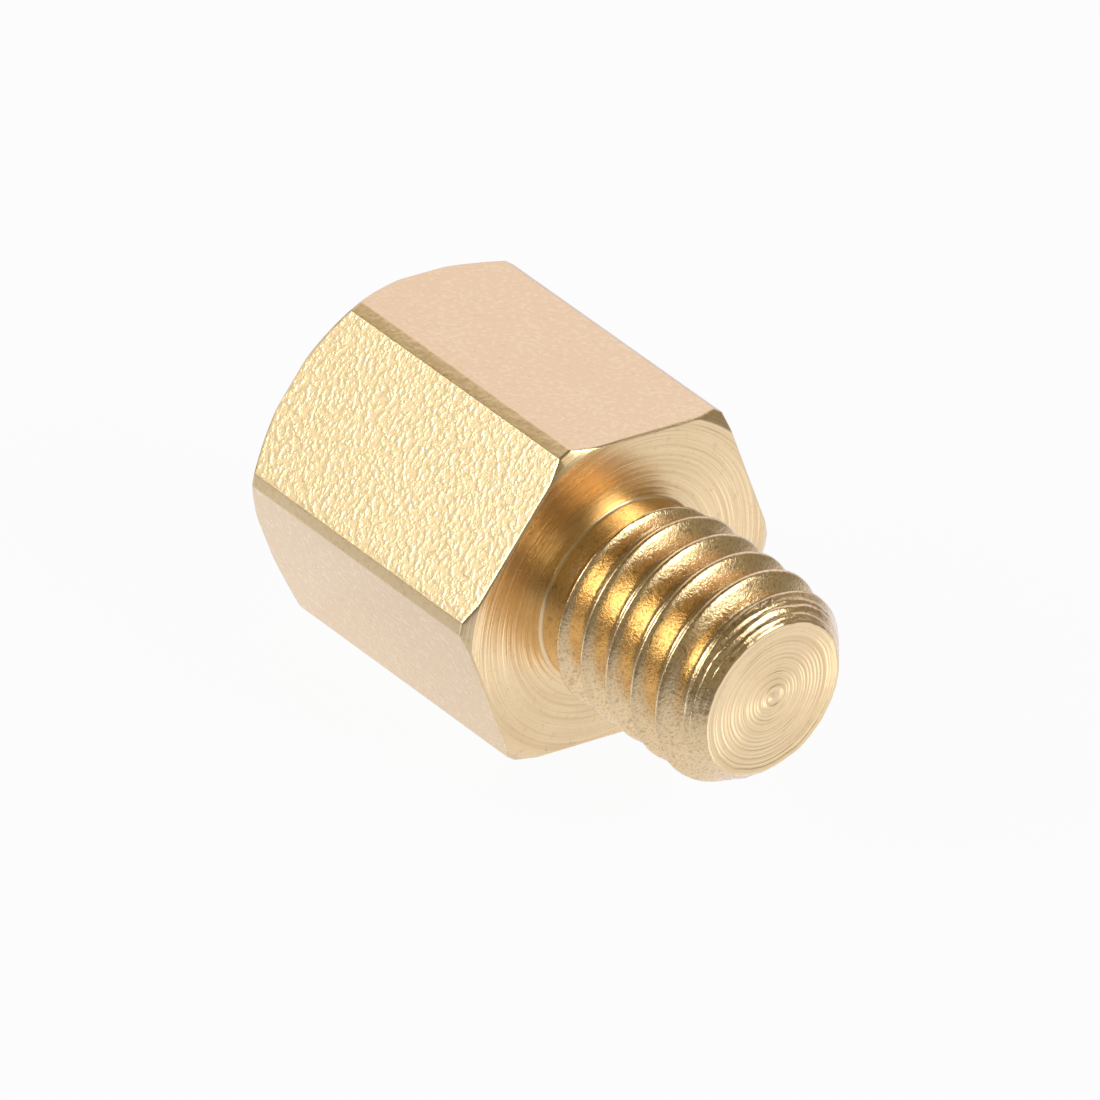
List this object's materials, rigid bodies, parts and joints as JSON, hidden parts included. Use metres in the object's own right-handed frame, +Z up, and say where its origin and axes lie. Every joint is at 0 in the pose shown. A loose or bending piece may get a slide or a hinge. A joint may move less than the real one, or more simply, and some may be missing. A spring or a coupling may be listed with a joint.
{
  "type": "hex standoff",
  "caption": "Short brass hex standoff with a threaded stud on its shoulder end and a tapped hole in its mouth end, which holds flat pieces a set distance apart.",
  "frame": {"origin": "on the stud's axis, in the plane of the shoulder", "axes": "+X out along the stud, +Z up from the flat that the standoff lies on"},
  "size_m": [0.0077, 0.0054, 0.0046],
  "materials": {
    "brass": "bare brass, drawn satin flats and turned ends"
  },
  "bodies": {
    "root": {"standoff": "brass"}
  },
  "joints": []
}
